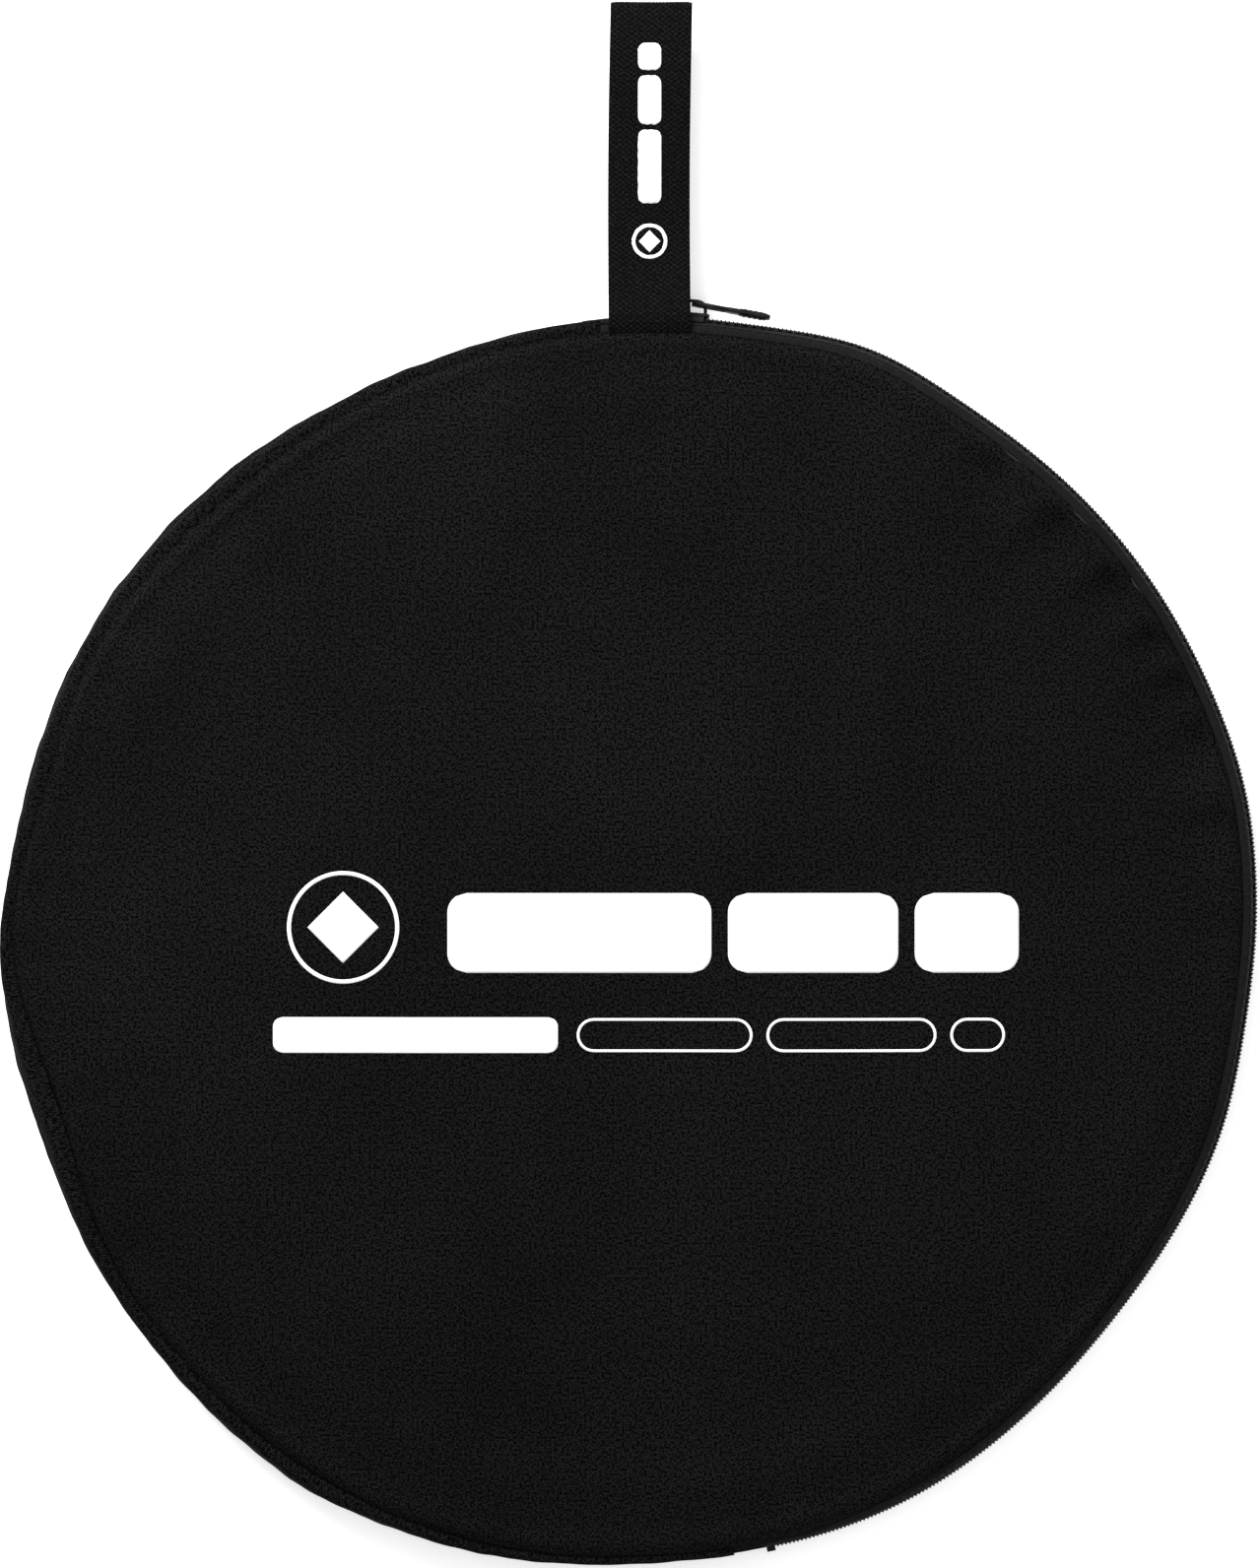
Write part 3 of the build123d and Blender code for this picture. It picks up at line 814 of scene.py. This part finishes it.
def add_block(bm, size, centre, corner=0.0, edge=0.0, along="Y"):
    """A block with its corner edges along one axis rounded, then all its edges softened."""
    made = bmesh.ops.create_cube(bm, size=1)["verts"]
    bmesh.ops.scale(bm, vec=size, verts=made)
    axis = {"X": Vector((1, 0, 0)), "Y": Vector((0, 1, 0)), "Z": Vector((0, 0, 1))}[along]
    if corner:
        edges = {e for v in made for e in v.link_edges}
        uprights = [e for e in edges
                    if abs((e.verts[0].co - e.verts[1].co).normalized().dot(axis)) > 0.99]
        rounded = bmesh.ops.bevel(bm, geom=uprights, offset=corner, segments=5, profile=0.5,
                                  affect="EDGES", material=-1)
        made = list({v for f in rounded["faces"] for v in f.verts} | {v for v in made if v.is_valid})
    if edge:
        edges = list({e for v in made for e in v.link_edges if e.calc_face_angle(0) > 0.9})
        softened = bmesh.ops.bevel(bm, geom=edges, offset=edge, segments=2, profile=0.5,
                                   affect="EDGES", material=-1)
        made = list({v for f in softened["faces"] for v in f.verts} | {v for v in made if v.is_valid})
    bmesh.ops.translate(bm, vec=centre, verts=made)
    return made


def slider():
    """A cast slider: tapered upper and lower wings with flanges, and the arch for the pull."""
    coil_top = 1.9 * MM
    wing, corner, edge = 1.2 * MM, 2.4 * MM, 0.3 * MM
    bm = bmesh.new()
    upper = add_block(bm, (12.2 * MM, wing, 10.4 * MM), (0, coil_top + wing / 2, 0), corner, edge)
    lower = add_block(bm, (11.6 * MM, wing, 10.0 * MM), (0, -2.7 * MM, 0), corner, edge)
    for side in (-1, 1):
        upper += add_block(bm, (9.0 * MM, 2.6 * MM, 1.0 * MM),
                           (-0.4 * MM, coil_top - 0.9 * MM, side * 4.5 * MM), 0, 0.25 * MM)
    for vert in upper + lower:
        if vert.is_valid:
            vert.co.z *= 1 - 0.16 * max(0.0, -vert.co.x / (6 * MM))
    add_block(bm, (2.0 * MM, 4.6 * MM, 1.5 * MM), (4.4 * MM, -0.2 * MM, 0), 0.5 * MM, 0)
    body = make_piece("slider_casting", at_rim(bm, WALL_R, SLIDER_ANGLE), SLIDER_METAL)
    stand_in(body, "slider", "zip_metal", "slider_body")

    half, tall = 4.5 * MM, 5.2 * MM
    bm = bmesh.new()
    bmesh.ops.create_grid(bm, x_segments=28, y_segments=12, size=0.5)
    for vert in bm.verts:
        turn = (vert.co.x + 0.5) * pi
        ring = vert.co.y * 2 * pi
        out = Vector((-cos(turn), sin(turn), 0))
        shape = Vector((-half * abs(cos(turn)) ** 0.6 * (1 if cos(turn) > 0 else -1),
                        tall * sin(turn) ** 0.55 if turn < pi else 0.0, 0))
        section = out * 0.65 * MM * cos(ring) + Vector((0, 0, 1.25 * MM * sin(ring)))
        vert.co = shape + section + Vector((0, coil_top + wing - 0.5 * MM, 0))
    bmesh.ops.remove_doubles(bm, verts=bm.verts, dist=0.02 * MM)
    bmesh.ops.holes_fill(bm, edges=[e for e in bm.edges if e.is_boundary])
    arch = make_piece("slider_arch", at_rim(bm, WALL_R, SLIDER_ANGLE), SLIDER_METAL)
    stand_in(arch, "slider", "zip_metal", "slider_bridge")


def pull():
    """A flat pull: two arms that pass the arch, a crossbar under it and a ribbed grip."""
    width, length = 7.2 * MM, 28.5 * MM
    arm_end, arm_thick, arm_width = 12 * MM, 1.5 * MM, 1.7 * MM
    bm = bmesh.new()
    for side in (-1, 1):
        add_block(bm, (arm_end + 1.6 * MM, arm_thick, arm_width),
                  (arm_end / 2, 0, side * (width - arm_width) / 2), 0.5 * MM, 0.25 * MM, "X")
    add_block(bm, (arm_thick, arm_thick, width - 1.0 * MM), (0, 0, 0), 0.45 * MM, 0, "Z")
    add_block(bm, (length - arm_end, 1.7 * MM, width + 0.6 * MM),
              ((length + arm_end) / 2, 0, 0), 2.2 * MM, 0.35 * MM)
    add_block(bm, (10.5 * MM, 2.5 * MM, width - 1.6 * MM), (length - 6.6 * MM, 0, 0), 1.6 * MM, 0.4 * MM)
    rib_pitch = 2.0 * MM
    for k in range(4):
        add_block(bm, (0.9 * MM, 3.0 * MM, width - 3.2 * MM),
                  (length - 3.6 * MM - k * rib_pitch, 0, 0), 0.2 * MM, 0.2 * MM)
    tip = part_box("pull_tab")
    hinge = Vector(joint("pull_flip")["pos_m"])
    droop = atan2(tip[0].y + 1.3 * MM - hinge.y, tip[1].x - hinge.x)
    place = Matrix.Translation(hinge) @ Matrix.Rotation(droop, 4, "Z")
    bmesh.ops.transform(bm, matrix=place, verts=bm.verts)
    piece = make_piece("zip_pull", bm, PULL_METAL)
    stand_in(piece, "pull", "pull_metal", "pull_tab")


# ---- Carrying strap ----
STRAP_THICK = 1.4 * MM
RIB_PITCH = 1.85 * MM
CORD_PITCH = 1.25 * MM
FOLD_R = 4.0 * MM                        # outside of the fold at the strap's top


def smooth_path(points, count):
    """Evenly spaced points along a smooth curve through this open outline, with its length."""
    data = bpy.data.curves.new("path", "CURVE")
    data.dimensions = "3D"
    spline = data.splines.new("NURBS")
    spline.points.add(len(points) - 1)
    for item, point in zip(spline.points, points):
        item.co = (*point, 1)
    spline.order_u = 3
    spline.use_endpoint_u = True
    spline.resolution_u = 16
    carrier = bpy.data.objects.new("path", data)
    line = [v.co.copy() for v in bpy.data.meshes.new_from_object(carrier).vertices]
    bpy.data.objects.remove(carrier)
    reach = [0.0]
    for a, b in zip(line, line[1:]):
        reach.append(reach[-1] + (b - a).length)
    found, k = [], 0
    for number in range(count):
        target = reach[-1] * number / (count - 1)
        while k < len(line) - 2 and reach[k + 1] < target:
            k += 1
        share = (target - reach[k]) / max(reach[k + 1] - reach[k], 1e-12)
        found.append(line[k].lerp(line[k + 1], share))
    return found, reach[-1]


def strap_side():
    """The strap's line seen from its edge: from the front seam, round its top, to the back."""
    top = STRAP_HIGH.y
    rise = STRAP_HIGH.z - ZIP_Z
    seam_y = SEAM_R - 1.0 * MM
    half = [(seam_y - 1.5 * MM, FRONT_SEAM_Z - ZIP_Z - 1.2 * MM), (seam_y + 3 * MM, 11.2 * MM),
            (seam_y + 12 * MM, 9.6 * MM), (PIVOT.y - 6 * MM, rise + 0.9 * MM),
            (PIVOT.y + 8 * MM, rise - 0.6 * MM), (PIVOT.y + 45 * MM, rise - 1.1 * MM),
            (top - 12 * MM, FOLD_R + 0.4 * MM), (top - 3.4 * MM, FOLD_R + 0.2 * MM),
            (top, FOLD_R - 0.6 * MM), (top, 0.6 * MM)]
    front = [(0, y, ZIP_Z + z) for y, z in half]
    back = [(0, y, ZIP_Z - z) for y, z in reversed(half)]
    return front + back


def webbing_relief(along, across):
    """Height of the heavy weave: ribs across the strap, stepped from cord to cord."""
    rib = sin(2 * pi * along / RIB_PITCH + pi * (int(across / CORD_PITCH + 1000) % 2))
    cord = abs(sin(pi * across / CORD_PITCH))
    return 0.17 * MM * rib * cord + 0.06 * MM * cord


def strap():
    columns, rows = 66, 560
    line, length = smooth_path(strap_side(), rows + 1)
    centre_x = (STRAP_LOW.x + STRAP_HIGH.x) / 2
    bm = cloth_grid(columns, rows, STRAP_WIDTH, length)
    for vert in bm.verts:
        across, along = vert.co.x, vert.co.y + length / 2
        number = min(rows - 1, int(along / length * rows))
        share = along / length * rows - number
        point = line[number].lerp(line[number + 1], share)
        forward = (line[number + 1] - line[number]).normalized()
        normal = Vector((0, -forward.z, forward.y))
        edge = abs(across) / (STRAP_WIDTH / 2)
        relief = webbing_relief(along, across) * (1 - edge ** 12)
        height = (point.y - SEAM_R) / (STRAP_HIGH.y - SEAM_R)
        lean = (0.7 * height - 0.6 * sin(pi * height)) * MM
        curl = 0.35 * MM * (edge ** 2) * sin(2 * pi * along / 0.09)
        vert.co = Vector((centre_x + across + lean, point.y, point.z))
        vert.co += normal * (relief - 0.3 * MM * edge ** 10 + curl)
    piece = make_piece("carrying_strap", bm, WEBBING)
    face_up(piece, lambda c: Vector((0, 1, 0)))
    thicken(piece, STRAP_THICK)
    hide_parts("strap_anchor_front", "strap_anchor_back", "strap_loop")
    ride_strap(piece)
    return piece


# ---- White prints ----
# Plain bars, capsules and a ring with a diamond in it stand in for the printed marks.
def add_bar(bm, left, right, middle, height, corner):
    """A solid bar with rounded ends."""
    made = bmesh.ops.create_grid(bm, x_segments=max(4, int((right - left) / (1.5 * MM))),
                                 y_segments=24, size=1)["verts"]
    half, reach = height / 2, (right - left) / 2
    for vert in made:
        past = max(0.0, abs(vert.co.y) * half - (half - corner))
        end = reach - corner + sqrt(max(0.0, corner * corner - past * past))
        vert.co = Vector(((left + right) / 2 + vert.co.x * end, middle + vert.co.y * half, 0))


def add_outline(bm, left, right, middle, height, stroke):
    """A capsule drawn as an outline; as long as it is high, it is a ring."""
    half = height / 2
    straight = right - left - height
    around_length = 2 * straight + 2 * pi * half
    made = bmesh.ops.create_grid(bm, x_segments=max(48, int(around_length / (1.5 * MM))),
                                 y_segments=2, size=0.5)["verts"]
    for vert in made:
        run = (vert.co.x + 0.5) * around_length
        reach = half - stroke * (vert.co.y + 0.5)
        first, second = straight, straight + pi * half
        if run < first:
            spot, turn = left + half + run, pi / 2
        elif run < second:
            spot, turn = right - half, pi / 2 - (run - first) / half
        elif run < second + straight:
            spot, turn = right - half - (run - second), -pi / 2
        else:
            spot, turn = left + half, -pi / 2 - (run - second - straight) / half
        vert.co = Vector((spot + reach * cos(turn), middle + reach * sin(turn), 0))


def add_diamond(bm, x, y, reach):
    """A square standing on its corner."""
    for vert in bmesh.ops.create_grid(bm, x_segments=16, y_segments=16, size=0.5)["verts"]:
        across, up = vert.co.x - vert.co.y, vert.co.x + vert.co.y
        vert.co = Vector((x + across * reach, y + up * reach, 0))


def lay_print(name, bm, carrier, lift):
    """Lays flat shapes on the top of a piece, this far off its weave, as a thin coat of ink."""
    bmesh.ops.remove_doubles(bm, verts=bm.verts, dist=0.02 * MM)
    keep_flat_place(bm.faces, bm.loops.layers.uv.new("cloth"))
    mesh = carrier.data
    tree = BVHTree.FromPolygons([v.co for v in mesh.vertices], [p.vertices for p in mesh.polygons])
    for vert in bm.verts:
        place, normal, _, _ = tree.ray_cast(Vector((*vert.co.xy, 0.1)), Vector((0, 0, -1)))
        vert.co = place + normal * lift
    piece = make_piece(name, bm, INK)
    face_up(piece, lambda c: Vector((0, 0, 1)))
    return thicken(piece, 0.1 * MM)


def row_of(left, lengths, gap):
    """Both ends of each shape in a row, in metres, from its start, lengths and gap in mm."""
    for length in lengths:
        yield left * MM, (left + length) * MM
        left += length + gap


def panel_print(cover):
    bm = bmesh.new()
    add_outline(bm, -125.5 * MM, -84.5 * MM, 5 * MM, 41 * MM, 1.5 * MM)
    add_diamond(bm, -105 * MM, 5 * MM, 13 * MM)
    for left, right in row_of(-67.0, (96, 62, 38), 6):
        add_bar(bm, left, right, 3.0 * MM, 29 * MM, 7 * MM)
    low_row = -34.2 * MM
    add_bar(bm, -130.6 * MM, -26.8 * MM, low_row, 13 * MM, 3.5 * MM)
    for left, right in row_of(-20.0, (64, 62, 20), 5):
        add_outline(bm, left, right, low_row, 12.4 * MM, 1.0 * MM)
    ride_fold(lay_print("panel_print", bm, cover, 0.26 * MM))


def strap_print(carrier):
    bm = bmesh.new()
    middle = (STRAP_LOW.x + STRAP_HIGH.x) / 2
    ring_r, ring_y = 6.5 * MM, 256 * MM
    add_outline(bm, middle - ring_r, middle + ring_r, ring_y, 13 * MM, 1.3 * MM)
    add_diamond(bm, middle, ring_y, 4 * MM)
    for low, high in row_of(270.0, (27, 18, 10), 2):
        start = len(bm.verts)
        add_bar(bm, low, high, 0, 8.5 * MM, 2.6 * MM)
        bm.verts.ensure_lookup_table()
        for vert in bm.verts[start:]:
            vert.co = Vector((middle - vert.co.y, vert.co.x, 0))
    ride_strap(lay_print("strap_print", bm, carrier, 0.34 * MM))


# ---- Folded reflector ----
# The spring hoop lies in three loops that weave round each other, with both cloths folded
# into many layers inside them.
LOOPS = 3
HOOP_R = 196.5 * MM
WEAVE_R = 6.0 * MM
SLEEVE_R = 3.3 * MM
HOOP_SHIFT = FOLD_ACROSS * -6 * MM
HOOP_Z = (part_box("rim_binding")[0].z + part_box("rim_binding")[1].z) / 2


def hoop_line(turn):
    """A point of the hoop's middle line, for a turn in degrees from 0 to 360 for each loop."""
    weave = radians(turn / LOOPS)
    point = polar(HOOP_R + WEAVE_R * cos(weave), turn, HOOP_Z + WEAVE_R * sin(weave))
    return point + HOOP_SHIFT


def along_hoop(name, start, end, columns, section, rows, material):
    """Sweeps a closed section along the hoop; section gives out and up for a share of it."""
    length = radians(end - start) * HOOP_R
    bm = cloth_grid(columns, rows, length, 0.02)
    for vert in bm.verts:
        turn = start + (vert.co.x / length + 0.5) * (end - start)
        out, up = section(vert.co.y / 0.02 + 0.5, turn)
        vert.co = hoop_line(turn) + polar(out, turn, up)
    bmesh.ops.remove_doubles(bm, verts=bm.verts, dist=0.01 * MM)
    rims = [e for e in bm.edges if e.is_boundary]
    if rims:
        bmesh.ops.holes_fill(bm, edges=rims)
    return make_piece(name, bm, material)


def sleeve_section(share, turn):
    """A sleeve with a stitched fin on its inner side, puckered by the stitches."""
    angle = share * 2 * pi
    fin = max(0.0, -cos(angle)) ** 10
    pucker = 0.16 * MM * sin(radians(turn) * HOOP_R / (2.6 * MM)) * (0.4 + fin)
    slack = 0.25 * MM * noise.noise(Vector((turn / 4, angle, 2.0)))
    reach = SLEEVE_R + slack - 0.25 * MM
    return cos(angle) * reach - 1.7 * MM * fin, sin(angle) * (reach + pucker) * (1 - 0.55 * fin)


def flat_section(half_thick, half_tall):
    """A flat strip's section, the same all the way round the hoop."""
    def section(share, _):
        angle = share * 2 * pi
        box = max(abs(cos(angle)), abs(sin(angle)))
        return half_thick * cos(angle) / box, half_tall * sin(angle) / box
    return section


def hoop():
    full = 360 * LOOPS
    sleeve = along_hoop("reflector_edge_sleeve", 0, full, 1500, sleeve_section, 20, BINDING)
    stand_in(sleeve, "reflector", "binding", "rim_binding")
    band = along_hoop("spring_hoop", 0, full, 720, flat_section(0.5 * MM, 1.5 * MM), 8, STEEL)
    stand_in(band, "reflector", "spring_steel", "hoop_band")
    low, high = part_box("hoop_ferrule")
    middle = (low + high) / 2
    turn = angle_of(middle - HOOP_SHIFT) % 360
    turn += 360 * min(range(LOOPS), key=lambda k: (hoop_line(turn + 360 * k) - middle).length)
    half = degrees(max(high - low) / 2 / HOOP_R)
    ferrule = along_hoop("hoop_ferrule_sleeve", turn - half, turn + half, 16,
                         flat_section(1.1 * MM, 2.1 * MM), 16, STEEL)
    stand_in(ferrule, "reflector", "spring_steel", "hoop_ferrule")


CLOTH_LAYERS = 8
LAYER_GAP = 0.42 * MM


def fold_height(x, y):
    """The folded cloth's swirling folds, shared by every layer so that they stay apart."""
    radius = hypot(x, y)
    angle = radians(angle_of(Vector((x, y))))
    swirl = angle + radius / 0.09
    wide = sin(3 * swirl + 1.2 * sin(angle)) * min(1.0, radius / 0.05)
    crease = abs(sin(2.5 * swirl + 2.0 + radius / 0.2)) * min(1.0, radius / 0.04)
    held = 1 - (radius / 0.19) ** 8
    soft = ripple(x, y, 0.04, 5.5)
    return (0.8 * wide + 1.5 * (1 - crease) ** 2 + 0.7 * soft) * max(0.0, held) * MM


def folded_cloth(name, node, material):
    """Both halves of one cloth, folded down to a stack of wavy layers."""
    low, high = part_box(node)
    middle = (low.z + high.z) / 2
    reach = (high.y - low.y) / 2 + 3.5 * MM
    bm = bmesh.new()
    layer_uv = bm.loops.layers.uv.new("cloth")
    for number in range(CLOTH_LAYERS):
        height = middle + (number - (CLOTH_LAYERS - 1) / 2) * LAYER_GAP
        made = bmesh.ops.create_grid(bm, x_segments=84, y_segments=84, size=1)["verts"]
        keep_flat_place({f for v in made for f in v.link_faces}, layer_uv, reach)
        for vert in made:
            across, up = round_off(vert.co.x, vert.co.y)
            edge = hypot(across, up)
            x, y = across * reach, up * reach
            own = 0.14 * MM * ripple(x, y, 0.03, 20.0 + number)
            frill = 1.4 * MM * edge ** 12 * ripple(x, y, 0.012, number + 1.5)
            vert.co = Vector((x + frill * across, y + frill * up, height + fold_height(x, y) + own))
            vert.co += Vector((HOOP_SHIFT.x, HOOP_SHIFT.y, 0))
    piece = make_piece(name, bm, material)
    stand_in(piece, "reflector", node.replace("face", "cloth"), node)


# ---- The whole ----
cover = front_cover()
back_cover()
gusset()
front_binding = seam_binding("front_seam_tape", front_seam_r, FRONT_SEAM_Z, 1)
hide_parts("front_seam_binding_fixed", "front_seam_binding_flap")
ride_fold(front_binding)
back_binding = seam_binding("back_seam_tape", back_seam_r, BACK_SEAM_Z, -1)
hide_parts("back_seam_binding")
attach(back_binding, "bag")
front_zip_half()
back_zip_half()
zip_end_tabs()
slider()
pull()
panel_print(cover)
strap_print(strap())
hoop()
folded_cloth("silver_cloth_folded", "silver_face", SILVER_CLOTH)
folded_cloth("white_cloth_folded", "white_face", WHITE_CLOTH)
for node in ("zip_top_stops", "zip_bottom_stop"):
    for slot in bpy.data.objects[node].material_slots:
        slot.material = SLIDER_METAL


# ---- Floor, light and camera ----
def plain(name, colour, rough, glow):
    """The floor's pale finish, with a little light of its own that softens the shadow on it."""
    material, _, sockets = start_material(name, Roughness=rough, Emission_Strength=glow)
    sockets["Base Color"].default_value = (*colour, 1)
    sockets["Emission Color"].default_value = (1, 1, 1, 1)
    return material


def area_light(name, place, aim, size, power):
    data = bpy.data.lights.new(name, "AREA")
    data.size = size
    data.energy = power
    lamp = bpy.data.objects.new(name, data)
    lamp.location = place
    lamp.rotation_euler = (Vector(aim) - Vector(place)).to_track_quat("-Z", "Y").to_euler()
    bpy.context.scene.collection.objects.link(lamp)


bm = bmesh.new()
bmesh.ops.create_grid(bm, x_segments=1, y_segments=1, size=4)
floor = make_piece("studio_floor", bm, plain("pale_floor", (0.93, 0.93, 0.93), 0.8, 0.4))
floor.data.transform(Matrix.Translation((0, 0, -0.2 * MM)))

world = bpy.data.worlds.new("studio_air")
world.use_nodes = True
world.node_tree.nodes["Background"].inputs["Color"].default_value = (1, 1, 1, 1)
world.node_tree.nodes["Background"].inputs["Strength"].default_value = 0.5
bpy.context.scene.world = world
bpy.context.scene.view_settings.view_transform = "Standard"
area_light("key_above_left", (-0.8, 1.5, 1.25), (0, 0, 0), 1.0, 74)
area_light("broad_overhead", (0.2, 0.1, 2.3), (0, 0, 0), 1.6, 14)
area_light("low_right", (1.5, 0.4, 0.45), (0, 0, 0), 0.6, 5)

VIEW_CENTRE = Vector((-0.6 * MM, 57.2 * MM, 16 * MM))
VIEW_TALL = 575.7 * MM
camera_data = bpy.data.cameras.new("camera")
camera_data.lens = 100
camera_data.sensor_width = 36
camera = bpy.data.objects.new("camera", camera_data)
camera.location = VIEW_CENTRE + Vector((0, 0, VIEW_TALL * camera_data.lens / camera_data.sensor_width))
bpy.context.scene.collection.objects.link(camera)
bpy.context.scene.camera = camera
